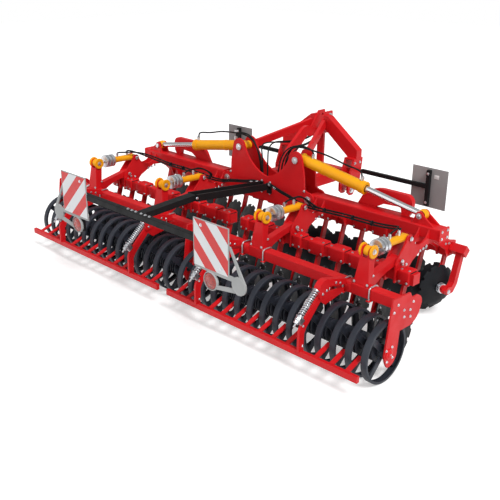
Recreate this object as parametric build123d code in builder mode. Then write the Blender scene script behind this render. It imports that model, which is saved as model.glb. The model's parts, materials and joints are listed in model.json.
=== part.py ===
from build123d import *
from math import atan2, cos, degrees, hypot, pi, radians, sin
import os

# Folding disc harrow. Y points forward, X to the machine's right, Z up, and the ground is at Z = 0.

# Lines that run across the machine, seen from the side
roller_y = -715
main_beam_y = 460
main_beam_z = 929
rear_row_y = -50
front_row_y = 815
row_tube_z = 665
pivot_y = -50
pivot_z = 785

# Wing beam
main_beam_width = 148
main_beam_height = 112
wing_inner_x = 690
wing_outer_x = 2125
end_cap_thickness = 12
end_cap_overhang = 6
beam_corner_r = 12

# Wing hinge, along Y
hinge_x = 598
hinge_z = 925
hinge_pin_r = 25
hinge_sleeve_r = 52
pin_head_overhang = 13
pin_head_thickness = 12
pin_fit = 0.05

# Centre plates on both sides of the wing knuckles
centre_plate_thickness = 20
plate_side_gap = 6
centre_tube_half = 430
plate_end_r = 76
valley_z = 1060
plate_bottom_z = 785

# Folding cylinders
barrel_pin_x = 410
barrel_pin_z = 1312
rod_pin_x = 1894
rod_pin_rise = 76
fold_barrel_r = 58
fold_barrel_length = 830
fold_gland_r = 64
fold_gland_length = 45
fold_bore_start = 70
fold_rod_r = 30
fold_rod_inside = 150
fold_pin_r = 22
fold_eye_r = 46
fold_eye_width = 68
barrel_eye_width = 110
lug_thickness = 18
lug_side_gap = 6
lug_length = 230

# Bow ahead of the wing beam, behind which the hoses run
bow_left_x = 1070
bow_right_x = 1728
bow_top = 1180
bow_depth = 50

# Disc rows
arm_pitch = 245
rear_first_x = 130
rear_count = 9
front_first_x = 252
front_count = 8
edge_arm_x = 2125
edge_arm_size = 60
edge_hub_y = 600
edge_hub_z = 330
edge_hub_length = 80
edge_disc_r = 210
edge_holder_start = 2030
edge_holder_end = 2190
edge_holder_size = 84
row_tube_size = 100
row_inner_x = 75
rear_row_outer_x = 2200
front_row_outer_x = 2040
clamp_width = 60
clamp_wall = 16
disc_r = 250
disc_thickness = 5
disc_corners = 12
disc_dish = 42
disc_flat_r = 70
notch_r = 19
notch_inset = 12
disc_angle = 17
disc_trail = 100
hub_r = 46
hub_sides = 12
hub_length = 50
arm_thickness = 24
arm_width = 62

# Side plates in pairs, with the roller arm and the depth cylinder between them
station_inner_x = front_first_x + 2 * arm_pitch
station_outer_x = front_first_x + 7 * arm_pitch
side_plate_gap = 88
side_plate_thickness = 15
plate_low_z = 812

# Depth cylinders
depth_pin_y = 70
depth_pin_z = 965
depth_eye_y = -465
depth_eye_z = 985
depth_barrel_r = 36
depth_barrel_length = 270
depth_bore_start = 60
depth_rod_r = 17
depth_rod_inside = 90
depth_pin_r = 15
depth_eye_r = 40
depth_eye_width = 44

# Roller
ring_r = 275
ring_sides = 24
ring_pitch = 160
ring_count = 15
ring_width = 60
ring_thickness = 10
roller_inner_x = 85
axle_r = 57
spoke_thickness = 10
axle_stub_r = 25

# Roller frame
roller_beam_y = -505
roller_beam_size = 100
roller_beam_z = 640
roller_beam_inner = 100
end_plate_gap = 10
end_plate_thickness = 15
roller_arm_width = 72
roller_arm_end_r = 42
bracket_gap = 62
bracket_thickness = 15
bracket_foot_width = 160
bearing_r = 62
bearing_length = 30

# Scraper bar
scraper_y = -1105
scraper_z = 195
scraper_height = 60
scraper_depth = 36
scraper_tooth_width = 44
scraper_post_gaps = (2, 10)
scraper_post_thickness = 24
scraper_elbow_width = 60
post_knee_y = -1128
post_knee_z = 425
post_width = 62
elbow_y = -925
elbow_z = 700

# Headstock
top_link_y = 1335
top_link_z = 1590
top_link_r = 16
top_plate_x = 45
top_plate_thickness = 20
leg_depth = 90
strap_thickness = 40
brace_foot_x = 375
brace_foot_z = 1320
lower_link_x = 480
lower_link_y = 1160
lower_link_z = 850
lower_link_hole_r = 18.5
hitch_plate_thickness = 22
hitch_plate_gap = 90
front_beam_y = 1240
front_beam_z = 1000
front_beam_size = 100
fore_tube_x = 250
fore_tube_z = 955
fore_tube_width = 100
fore_tube_height = 120
hitch_top = 1180

# Light bar and boards
light_bar_y = -1352
light_bar_z = 1020
light_bar_half = 1100
light_bar_size = 60
board_size = 423
board_thickness = 3
rear_board_x = 1020
rear_board_z = 1005
front_board_y = 1335
front_board_x = 1400
front_board_z = 1025
board_tube_size = 40
lamp_x = 1010
lamp_z = 690
lamp_r = 78
disc_plate_x = 1350
disc_plate_z = 745
disc_plate_r = 82
casting_thickness = 14
light_joint_y = -690
light_joint_z = 1060

os.makedirs("parts", exist_ok=True)


def across(y):
    return Plane.XZ.offset(-y)


def sideways(x):
    return Plane.YZ.offset(x)


def write(part, name):
    part.label = name
    export_step(part, "parts/" + name + ".step")


def write_pair(right, name):
    write(right, name + "_right")
    write(mirror(right, about=Plane.YZ), name + "_left")


def write_both(right, name):
    with BuildPart() as both:
        add(right)
        mirror(about=Plane.YZ)
    write(both.part, name)


# Heights and depths that several pieces share
beam_bottom = main_beam_z - main_beam_height / 2
beam_top = main_beam_z + main_beam_height / 2
beam_rear = main_beam_y - main_beam_width / 2
beam_ahead = main_beam_y + main_beam_width / 2
plate_inner = main_beam_width / 2 + plate_side_gap
plate_outer = plate_inner + centre_plate_thickness
rod_pin_z = beam_top + rod_pin_rise
ring_outer_x = roller_inner_x + ring_pitch * (ring_count - 1) + ring_width
stations = (station_inner_x, station_outer_x)

# Wing beam with its hinge knuckle, end cap and the two lugs of the rod pin
with BuildPart() as wing_beam:
    with BuildSketch(sideways(wing_inner_x)):
        with Locations((main_beam_y, main_beam_z)):
            RectangleRounded(main_beam_width, main_beam_height, beam_corner_r)
    extrude(amount=wing_outer_x - wing_inner_x)
    with BuildSketch(across(main_beam_y)):
        with BuildLine():
            Polyline(
                (hinge_x, hinge_z + hinge_sleeve_r),
                (wing_inner_x + 1, beam_top - beam_corner_r),
                (wing_inner_x + 1, beam_bottom + beam_corner_r),
                (hinge_x, hinge_z - hinge_sleeve_r),
                close=True,
            )
        make_face()
        with Locations((hinge_x, hinge_z)):
            Circle(hinge_sleeve_r)
            Circle(hinge_pin_r + pin_fit, mode=Mode.SUBTRACT)
    extrude(amount=main_beam_width / 2, both=True)
    with BuildSketch(sideways(wing_outer_x)):
        with Locations((main_beam_y, main_beam_z)):
            RectangleRounded(
                main_beam_width + 2 * end_cap_overhang, main_beam_height + 2 * end_cap_overhang, beam_corner_r
            )
    extrude(amount=end_cap_thickness)
    lug_y = fold_eye_width / 2 + lug_side_gap
    for side in (-1, 1):
        with BuildSketch(across(main_beam_y + side * (lug_y + lug_thickness / 2))):
            with BuildLine():
                Polyline(
                    (rod_pin_x - 70, beam_top - 1),
                    (rod_pin_x - 40, rod_pin_z + 10),
                    (rod_pin_x + 40, rod_pin_z + 10),
                    (rod_pin_x + lug_length - 70, beam_top - 1),
                    close=True,
                )
            make_face()
            with Locations((rod_pin_x, rod_pin_z)):
                Circle(fold_eye_r - 4)
        extrude(amount=lug_thickness / 2, both=True)
        with BuildSketch(across(main_beam_y + side * (lug_y + lug_thickness + 6))):
            with Locations((rod_pin_x, rod_pin_z)):
                Circle(fold_pin_r + 4)
        extrude(amount=6, both=True)
    with BuildSketch(across(beam_ahead)):
        with BuildLine():
            top_left = Line((bow_left_x, beam_top - 60), (bow_left_x + 90, beam_top + 95))
            shoulder = ThreePointArc(top_left @ 1, (bow_left_x + 180, bow_top - 35), (bow_left_x + 330, bow_top))
            across_top = Line(shoulder @ 1, (bow_right_x - 80, bow_top))
            corner = ThreePointArc(across_top @ 1, (bow_right_x - 20, bow_top - 25), (bow_right_x, bow_top - 80))
            leg = Line(corner @ 1, (bow_right_x - 5, beam_top + 30))
            Polyline(leg @ 1, (bow_right_x - 75, beam_top - 60), top_left @ 0)
        make_face()
        with BuildLine():
            Polyline(
                (bow_left_x + 235, beam_top - 10),
                (bow_left_x + 340, beam_top + 50),
                (bow_right_x - 125, beam_top + 62),
                (bow_right_x - 110, beam_top - 5),
                close=True,
            )
        make_face(mode=Mode.SUBTRACT)
    extrude(amount=-bow_depth)
write_pair(wing_beam.part, "wing_beam")

# Side plates: each pair hangs from the beam, holds both rows and carries the roller and cylinder pins
plate_offset = (side_plate_gap + side_plate_thickness) / 2
side_plate_planes = [sideways(x + side * plate_offset) for x in stations for side in (-1, 1)]
with BuildPart() as side_plates:
    with BuildSketch(*side_plate_planes):
        with BuildLine():
            start = (depth_pin_y + 35, depth_pin_z + 20)
            end = (beam_rear, beam_top - 18)
            hollow = ThreePointArc(start, (beam_rear - 140, beam_bottom - 10), end)
            Polyline(
                hollow @ 1,
                (beam_rear, beam_bottom),
                (beam_ahead, beam_bottom),
                (front_row_y - 70, row_tube_z + 110),
                (front_row_y + 75, row_tube_z + 70),
                (front_row_y + 75, row_tube_z - 68),
                (front_row_y - 75, row_tube_z - 68),
                (front_row_y - 110, row_tube_z + 20),
                (main_beam_y + 20, plate_low_z + 10),
                (main_beam_y - 130, plate_low_z + 20),
                (rear_row_y + 190, plate_low_z - 75),
                (rear_row_y + 75, row_tube_z - 40),
                (rear_row_y + 75, row_tube_z - 68),
                (rear_row_y - 75, row_tube_z - 68),
                (rear_row_y - 75, pivot_z - 20),
                (pivot_y - 40, pivot_z + 40),
                (depth_pin_y - 60, depth_pin_z - 30),
                (depth_pin_y - 35, depth_pin_z + 30),
                (depth_pin_y + 20, depth_pin_z + 32),
                hollow @ 0,
            )
        make_face()
        with Locations((rear_row_y, row_tube_z), (front_row_y, row_tube_z)):
            Rectangle(row_tube_size, row_tube_size, mode=Mode.SUBTRACT)
    extrude(amount=side_plate_thickness / 2, both=True)
    with BuildSketch(*[sideways(x) for x in stations]):
        with Locations((pivot_y, pivot_z), (depth_pin_y, depth_pin_z)):
            Circle(depth_pin_r)
    extrude(amount=side_plate_gap / 2 + side_plate_thickness + 12, both=True)
write_pair(side_plates.part, "side_plates")

# One clamp that holds an arm on a row tube
rear_places = [rear_first_x + arm_pitch * i for i in range(rear_count)]
front_places = [front_first_x + arm_pitch * i for i in range(front_count)]
clamp_size = row_tube_size + 2 * clamp_wall
with BuildPart() as clamp:
    with BuildSketch(Plane.YZ):
        Rectangle(clamp_size, clamp_size)
        Rectangle(row_tube_size, row_tube_size, mode=Mode.SUBTRACT)
    extrude(amount=clamp_width / 2, both=True)
    chamfer(clamp.edges().filter_by(Axis.X).sort_by_distance((0, 0, 0))[-4:], clamp_wall * 0.7)

# Row tubes with their clamps and the holder of the outer disc
with BuildPart() as row_tubes:
    for row_y, places, end_x in (
        (rear_row_y, rear_places, rear_row_outer_x),
        (front_row_y, front_places, front_row_outer_x),
    ):
        with BuildSketch(sideways(row_inner_x)):
            with Locations((row_y, row_tube_z)):
                Rectangle(row_tube_size, row_tube_size)
        extrude(amount=end_x - row_inner_x)
        with Locations(*[(x, row_y, row_tube_z) for x in places]):
            add(clamp.part)
    with BuildSketch(sideways(edge_holder_start)):
        with Locations((front_row_y, row_tube_z + 10)):
            Rectangle(edge_holder_size, edge_holder_size, rotation=45)
    extrude(amount=edge_holder_end - edge_holder_start)
write_pair(row_tubes.part, "row_tubes")


def disc_plane(x, y, facing, z=disc_r):
    # facing is 1 where the hollow side looks outwards and forwards, -1 where it looks inwards
    turn = radians(disc_angle)
    look = Vector(facing * cos(turn), sin(turn), 0)
    return Plane(origin=(x, y, z), x_dir=(0, 0, 1), z_dir=look)


# One notched disc, hollow towards its own Z, with a corner at every notch
disc_flare = degrees(atan2((disc_r - disc_flat_r) * cos(pi / disc_corners), disc_dish))
with BuildPart() as one_disc:
    for level, mode in ((0, Mode.ADD), (disc_thickness, Mode.SUBTRACT)):
        with BuildSketch(Plane.XY.offset(level)):
            RegularPolygon(disc_flat_r, disc_corners)
        extrude(amount=disc_dish, taper=-disc_flare, mode=mode)
    with BuildSketch(Plane.XY):
        with PolarLocations(disc_r + notch_inset - notch_r, disc_corners):
            RegularPolygon(notch_r, 6)
    extrude(amount=2 * disc_dish, mode=Mode.SUBTRACT)

edge_disc = scale(one_disc.part, by=(edge_disc_r / disc_r, edge_disc_r / disc_r, 1))
rows = [(x, rear_row_y, 1) for x in rear_places] + [(x, front_row_y, -1) for x in front_places]
edge_hub = disc_plane(edge_arm_x, edge_hub_y, -1, edge_hub_z)
with BuildPart() as discs:
    disc_seats = []
    for x, row_y, facing in rows:
        hub = disc_plane(x, row_y - disc_trail, facing)
        disc_seats.append(hub.offset(hub_length).location)
    with Locations(*disc_seats):
        add(one_disc.part)
    with Locations(edge_hub.offset(edge_hub_length).location):
        add(edge_disc)
write_pair(discs.part, "discs")

# Arms from the clamps down and back to the hubs
clamp_bottom = row_tube_z - clamp_size / 2
with BuildPart() as disc_arms:
    for row_y, places in ((rear_row_y, rear_places), (front_row_y, front_places)):
        with BuildSketch(*[sideways(x) for x in places]):
            with BuildLine():
                Polyline(
                    (row_y - arm_width / 2, clamp_bottom),
                    (row_y + arm_width / 2, clamp_bottom),
                    (row_y - disc_trail + arm_width / 2, disc_r + 20),
                    (row_y - disc_trail + 22, disc_r - 40),
                    (row_y - disc_trail - 22, disc_r - 40),
                    (row_y - disc_trail - arm_width / 2, disc_r + 20),
                    close=True,
                )
            make_face()
        extrude(amount=arm_thickness / 2, both=True)
    with BuildSketch(*[disc_plane(x, row_y - disc_trail, facing) for x, row_y, facing in rows]):
        RegularPolygon(hub_r, hub_sides)
    extrude(amount=hub_length)
    with BuildSketch(sideways(edge_arm_x)):
        with BuildLine():
            Polyline(
                (front_row_y + 28, row_tube_z - 30),
                (edge_hub_y + 165, edge_hub_z + 25),
                (edge_hub_y + 100, edge_hub_z - 45),
                (edge_hub_y, edge_hub_z - 45),
                (edge_hub_y - 30, edge_hub_z),
                (edge_hub_y, edge_hub_z + 30),
                (edge_hub_y + 75, edge_hub_z + 20),
                (edge_hub_y + 105, edge_hub_z + 50),
                (front_row_y - 34, row_tube_z - 20),
                close=True,
            )
        make_face()
    extrude(amount=edge_arm_size / 2, both=True)
    with BuildSketch(edge_hub):
        RegularPolygon(hub_r - 6, hub_sides)
    extrude(amount=edge_hub_length)
    with BuildSketch(sideways(edge_holder_start)):
        with Locations((front_row_y, row_tube_z + 10)):
            Rectangle(edge_holder_size, edge_holder_size, rotation=45)
    extrude(amount=edge_holder_end - edge_holder_start, mode=Mode.SUBTRACT)
write_pair(disc_arms.part, "disc_arms")

# Roller of rings on an axle tube, with spokes
ring_planes = [sideways(roller_inner_x + ring_width / 2 + i * ring_pitch) for i in range(ring_count)]
roller_mid = ((roller_inner_x + ring_outer_x) / 2, roller_y, ring_r)
with BuildPart() as roller:
    with Locations(Location(roller_mid, (0, 90, 0))):
        Cylinder(axle_r, ring_outer_x - roller_inner_x - 20)
        Cylinder(axle_stub_r, ring_outer_x - roller_inner_x + 2 * (end_plate_gap + end_plate_thickness))
    with BuildSketch(*ring_planes):
        with Locations((roller_y, ring_r)):
            Rectangle(2 * ring_r - ring_thickness, 36)
            Rectangle(36, 2 * ring_r - ring_thickness)
    extrude(amount=spoke_thickness / 2, both=True)
    with BuildSketch(*ring_planes):
        with Locations((roller_y, ring_r)):
            RegularPolygon(ring_r, ring_sides)
            RegularPolygon(ring_r - ring_thickness, ring_sides, mode=Mode.SUBTRACT)
    extrude(amount=ring_width / 2, both=True)
write_pair(roller.part, "roller")

# Roller frame beam
with BuildPart() as roller_beam:
    with BuildSketch(sideways(roller_beam_inner)):
        with Locations((roller_beam_y, roller_beam_z)):
            RectangleRounded(roller_beam_size, roller_beam_size, 8)
    extrude(amount=ring_outer_x + end_plate_gap - roller_beam_inner)
write_pair(roller_beam.part, "roller_beam")

# Roller arms from the pivots to the beam, with the upright brackets of the depth cylinders
beam_front = roller_beam_y + roller_beam_size / 2
beam_back = roller_beam_y - roller_beam_size / 2
beam_high = roller_beam_z + roller_beam_size / 2
beam_low = roller_beam_z - roller_beam_size / 2
with BuildPart() as roller_arms:
    with BuildSketch(*[sideways(x) for x in stations]):
        with BuildLine():
            top = Polyline(
                (pivot_y, pivot_z + roller_arm_end_r),
                (beam_front + 60, beam_high + 60),
                (beam_front - 10, beam_high + 60),
                (beam_front - 10, beam_high),
                (beam_front, beam_high),
                (beam_front, beam_low + 10),
            )
            ThreePointArc(top @ 1, (pivot_y - 220, pivot_z - 75), (pivot_y, pivot_z - roller_arm_end_r))
            Line((pivot_y, pivot_z - roller_arm_end_r), top @ 0)
        make_face()
        with Locations((pivot_y, pivot_z)):
            Circle(roller_arm_end_r)
            Circle(depth_pin_r + pin_fit, mode=Mode.SUBTRACT)
    extrude(amount=roller_arm_width / 2, both=True)
    bracket_offset = (bracket_gap + bracket_thickness) / 2
    with BuildSketch(*[sideways(x + side * bracket_offset) for x in stations for side in (-1, 1)]):
        with BuildLine():
            Polyline(
                (beam_back + 10, beam_high),
                (depth_eye_y - 42, depth_eye_z),
                (depth_eye_y + 42, depth_eye_z),
                (beam_front + 10, beam_high + 30),
                (beam_front, beam_high),
                close=True,
            )
        make_face()
        with Locations((depth_eye_y, depth_eye_z)):
            Circle(42)
    extrude(amount=bracket_thickness / 2, both=True)
    bracket_back = Vector(0, depth_eye_y - 42 - beam_back - 10, depth_eye_z - beam_high)
    face_out = Vector(0, -bracket_back.Z, bracket_back.Y)
    back_planes = [Plane(origin=(x, beam_back + 10, beam_high), x_dir=(1, 0, 0), z_dir=face_out) for x in stations]
    with BuildSketch(*back_planes):
        with BuildLine():
            Polyline(
                (-bracket_foot_width / 2, 2),
                (bracket_foot_width / 2, 2),
                (bracket_gap / 2 + bracket_thickness, bracket_back.length - 50),
                (-bracket_gap / 2 - bracket_thickness, bracket_back.length - 50),
                close=True,
            )
        make_face()
    extrude(amount=-12)
write_pair(roller_arms.part, "roller_arms")

# End plates of the roller frame with the bearings of the axle
plate_outer_x = ring_outer_x + end_plate_gap
plate_inner_x = roller_inner_x - end_plate_gap
with BuildPart() as roller_ends:
    for start, reach in ((plate_outer_x, end_plate_thickness), (plate_inner_x, -end_plate_thickness)):
        with BuildSketch(sideways(start)):
            with BuildLine():
                nose = ThreePointArc(
                    (beam_front + 95, beam_high), (beam_front + 160, beam_high - 50), (beam_front + 170, beam_low + 10)
                )
                belly = ThreePointArc(
                    (beam_front + 138, beam_low - 75), (beam_front + 85, beam_low - 125), (beam_front + 15, beam_low - 150)
                )
                foot = ThreePointArc(
                    (roller_y + 110, ring_r - 15), (roller_y + 60, ring_r - 108), (roller_y - 14, ring_r - 123)
                )
                heel = ThreePointArc(foot @ 1, (roller_y - 50, ring_r - 65), (roller_y - 65, ring_r + 10))
                Line(nose @ 1, belly @ 0)
                Polyline(belly @ 1, (roller_y + 128, beam_low - 150), foot @ 0)
                Polyline(
                    heel @ 1,
                    (roller_y + 5, beam_high + 65),
                    (beam_front - 15, beam_high + 55),
                    (beam_front + 20, beam_high),
                    nose @ 0,
                )
            make_face()
            with Locations((roller_y, ring_r)):
                Circle(bearing_r)
                Circle(axle_stub_r + pin_fit, mode=Mode.SUBTRACT)
        extrude(amount=reach)
write_pair(roller_ends.part, "roller_ends")

# Scraper bar with its teeth between the rings
gap_places = [roller_inner_x + (ring_width + ring_pitch) / 2 + i * ring_pitch for i in range(ring_count - 1)]
tooth_tip_y = roller_y - 200
scraper_top = scraper_z + scraper_height / 2
with BuildPart() as scraper:
    with BuildSketch(sideways(roller_inner_x - 10)):
        with Locations((scraper_y, scraper_z)):
            RectangleRounded(scraper_depth, scraper_height, 5)
    extrude(amount=ring_outer_x - roller_inner_x + 20)
    with BuildSketch(*[sideways(x) for i, x in enumerate(gap_places) if i not in scraper_post_gaps]):
        with BuildLine():
            Polyline(
                (scraper_y + scraper_depth / 2 - 4, scraper_top - 20),
                (scraper_y + scraper_depth / 2 - 4, scraper_top - 6),
                (tooth_tip_y, ring_r + 6),
                (tooth_tip_y, ring_r - 6),
                close=True,
            )
        make_face()
    extrude(amount=scraper_tooth_width / 2, both=True)
write_pair(scraper.part, "scraper_bar")

# Sprung posts: a bent elbow on the roller beam and a cranked bar from it down to the scraper bar
post_places = [gap_places[i] for i in scraper_post_gaps]
with BuildPart() as scraper_posts:
    with BuildSketch(*[sideways(x) for x in post_places]):
        with BuildLine():
            back = Polyline((beam_back, beam_high + 25), (elbow_y + 125, elbow_z + 80))
            bend = ThreePointArc(back @ 1, (elbow_y + 35, elbow_z + 62), (elbow_y, elbow_z))
            Polyline(
                bend @ 1,
                (elbow_y + 20, elbow_z - 65),
                (elbow_y + 90, elbow_z - 60),
                (elbow_y + 150, elbow_z + 10),
                (beam_back, beam_high - 30),
                back @ 0,
            )
        make_face()
    extrude(amount=scraper_elbow_width / 2, both=True)
    with BuildSketch(*[sideways(x) for x in post_places]):
        with BuildLine():
            Polyline(
                (beam_back, beam_low + 35),
                (elbow_y + 90, elbow_z - 40),
                (elbow_y + 30, elbow_z - 80),
                (elbow_y + 115, elbow_z - 155),
                (beam_back, beam_low),
                close=True,
            )
        make_face()
        with BuildLine():
            outer = Line((elbow_y + 15, elbow_z - 50), (post_knee_y + 30, post_knee_z + 45))
            knee = ThreePointArc(outer @ 1, (post_knee_y + 5, post_knee_z + 5), (post_knee_y - 5, post_knee_z - 50))
            Polyline(
                knee @ 1,
                (scraper_y - 30, scraper_top - 10),
                (scraper_y + 30, scraper_top - 10),
                (post_knee_y + post_width - 5, post_knee_z - 55),
                (post_knee_y + post_width + 22, post_knee_z - 5),
                (elbow_y + 60, elbow_z - 95),
                outer @ 0,
            )
        make_face()
    extrude(amount=scraper_post_thickness / 2, both=True)
    with BuildSketch(sideways(0)):
        with Locations((scraper_y, scraper_z)):
            Rectangle(scraper_depth, scraper_height)
    extrude(amount=ring_outer_x, mode=Mode.SUBTRACT)
write_pair(scraper_posts.part, "scraper_posts")

# Depth cylinders: barrels on the side plates, rods on the roller frame
depth_length = hypot(depth_eye_y - depth_pin_y, depth_eye_z - depth_pin_z)


def depth_plane(x):
    along = Vector(0, depth_eye_y - depth_pin_y, depth_eye_z - depth_pin_z)
    return Plane(origin=(x, depth_pin_y, depth_pin_z), x_dir=(1, 0, 0), z_dir=along)


with BuildPart() as depth_barrels:
    for station_x in stations:
        with BuildSketch(sideways(station_x)):
            with Locations((depth_pin_y, depth_pin_z)):
                Circle(depth_eye_r - 8)
        extrude(amount=30, both=True)
        with BuildSketch(depth_plane(station_x).offset(20)):
            Circle(depth_barrel_r)
        extrude(amount=depth_barrel_length - 20)
        with BuildSketch(depth_plane(station_x).offset(depth_bore_start)):
            Circle(depth_rod_r + pin_fit)
        extrude(amount=depth_length, mode=Mode.SUBTRACT)
        with BuildSketch(sideways(station_x)):
            with Locations((depth_pin_y, depth_pin_z)):
                Circle(depth_pin_r + pin_fit)
        extrude(amount=40, both=True, mode=Mode.SUBTRACT)
write_pair(depth_barrels.part, "depth_barrels")

with BuildPart() as depth_rods:
    for station_x in stations:
        with BuildSketch(depth_plane(station_x).offset(depth_barrel_length - depth_rod_inside)):
            Circle(depth_rod_r)
        extrude(amount=depth_length - depth_barrel_length + depth_rod_inside - 20)
        with BuildSketch(sideways(station_x)):
            with Locations((depth_eye_y, depth_eye_z)):
                Circle(depth_eye_r)
        extrude(amount=depth_eye_width / 2, both=True)
write_pair(depth_rods.part, "depth_rods")

# Folding cylinders
fold_length = hypot(rod_pin_x - barrel_pin_x, rod_pin_z - barrel_pin_z)
fold_plane = Plane(
    origin=(barrel_pin_x, main_beam_y, barrel_pin_z),
    x_dir=(0, 1, 0),
    z_dir=(rod_pin_x - barrel_pin_x, 0, rod_pin_z - barrel_pin_z),
)
with BuildPart() as fold_barrel:
    with BuildSketch(across(main_beam_y)):
        with Locations((barrel_pin_x, barrel_pin_z)):
            Circle(fold_eye_r)
    extrude(amount=barrel_eye_width / 2, both=True)
    with BuildSketch(fold_plane.offset(30)):
        Circle(fold_barrel_r)
    extrude(amount=fold_barrel_length - 30)
    with BuildSketch(fold_plane.offset(fold_barrel_length - fold_gland_length)):
        Circle(fold_gland_r)
    extrude(amount=fold_gland_length)
    with BuildSketch(fold_plane.offset(fold_bore_start)):
        Circle(fold_rod_r + pin_fit)
    extrude(amount=fold_length, mode=Mode.SUBTRACT)
    with BuildSketch(across(main_beam_y)):
        with Locations((barrel_pin_x, barrel_pin_z)):
            Circle(fold_pin_r + pin_fit)
    extrude(amount=plate_outer, both=True, mode=Mode.SUBTRACT)
write_pair(fold_barrel.part, "fold_barrel")

with BuildPart() as fold_rod:
    with BuildSketch(fold_plane.offset(fold_barrel_length - fold_rod_inside)):
        Circle(fold_rod_r)
    extrude(amount=fold_length - fold_barrel_length + fold_rod_inside)
    with BuildSketch(across(main_beam_y)):
        with Locations((rod_pin_x, rod_pin_z)):
            Circle(fold_eye_r)
    extrude(amount=fold_eye_width / 2, both=True)
write_pair(fold_rod.part, "fold_rod")

# Centre plates behind and ahead of each knuckle, with the pins of the wing hinge and the barrel
with BuildPart() as centre_plates:
    for front in (-1, 1):
        with BuildSketch(across(main_beam_y + front * (plate_inner + centre_plate_thickness / 2))):
            with BuildLine():
                outer_top = (barrel_pin_x + 88, barrel_pin_z + 30)
                crown = ThreePointArc(
                    outer_top, (barrel_pin_x, barrel_pin_z + 92), (barrel_pin_x - 80, barrel_pin_z + 30)
                )
                slope = ThreePointArc(crown @ 1, (210, 1165), (0, valley_z))
                Polyline(
                    slope @ 1,
                    (0, plate_bottom_z),
                    (hinge_x - 60, plate_bottom_z),
                    (hinge_x + 40, hinge_z - plate_end_r + 6),
                    (hinge_x - 10, hinge_z + plate_end_r),
                    (hinge_x - 56, hinge_z + plate_end_r + 20),
                    (hinge_x - 64, 1150),
                    crown @ 0,
                )
            make_face()
            with Locations((hinge_x, hinge_z)):
                Circle(plate_end_r)
        extrude(amount=centre_plate_thickness / 2, both=True)
    for x, z, r in ((hinge_x, hinge_z, hinge_pin_r), (barrel_pin_x, barrel_pin_z, fold_pin_r)):
        with BuildSketch(across(main_beam_y)):
            with Locations((x, z)):
                Circle(r)
        extrude(amount=plate_outer, both=True)
        for front in (-1, 1):
            with BuildSketch(across(main_beam_y + front * (plate_outer + pin_head_thickness / 2))):
                with Locations((x, z)):
                    Circle(r + pin_head_overhang)
            extrude(amount=pin_head_thickness / 2, both=True)
write_both(centre_plates.part, "centre_plates")

# Tube across the centre, between the plates
with BuildPart() as centre_tube:
    with Locations((0, main_beam_y, main_beam_z)):
        Box(2 * centre_tube_half, 2 * plate_inner, main_beam_height)
write(centre_tube.part, "centre_tube")

# Fore-aft tubes and the front beam
fore_start = main_beam_y + plate_outer
fore_end = front_beam_y - front_beam_size / 2
hitch_inner = lower_link_x - hitch_plate_gap / 2 - hitch_plate_thickness
hitch_outer = lower_link_x + hitch_plate_gap / 2 + hitch_plate_thickness
with BuildPart() as fore_tube:
    with BuildSketch(across(fore_start)):
        with Locations((fore_tube_x, fore_tube_z)):
            RectangleRounded(fore_tube_width, fore_tube_height, 8)
    extrude(amount=fore_start - fore_end)
write_both(fore_tube.part, "fore_tubes")

with BuildPart() as front_beam:
    with BuildSketch(sideways(-hitch_inner)):
        with Locations((front_beam_y, front_beam_z)):
            RectangleRounded(front_beam_size, front_beam_size, 8)
    extrude(amount=2 * hitch_inner)
write(front_beam.part, "front_beam")

# Hitch brackets: two plates each with the lower link pin's hole, a spacer and a top plate
hitch_planes = [
    sideways(lower_link_x + side * (hitch_plate_gap + hitch_plate_thickness) / 2) for side in (-1, 1)
]
with BuildPart() as hitch_bracket:
    with BuildSketch(*hitch_planes):
        with BuildLine():
            Polyline(
                (lower_link_y - 60, lower_link_z - 20),
                (lower_link_y - 20, lower_link_z - 55),
                (lower_link_y + 30, lower_link_z - 55),
                (front_beam_y + 70, 960),
                (front_beam_y + 100, hitch_top),
                (front_beam_y - 60, hitch_top),
                (lower_link_y - 60, 960),
                close=True,
            )
        make_face()
        with Locations((lower_link_y, lower_link_z)):
            Circle(lower_link_hole_r, mode=Mode.SUBTRACT)
    extrude(amount=hitch_plate_thickness / 2, both=True)
    with Locations((lower_link_x, front_beam_y, front_beam_z)):
        Box(hitch_plate_gap, front_beam_size, front_beam_size)
    with Locations((lower_link_x, front_beam_y + 20, hitch_top + 8)):
        Box(hitch_outer - hitch_inner, 160, 16)
write_both(hitch_bracket.part, "hitch_brackets")

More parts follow.
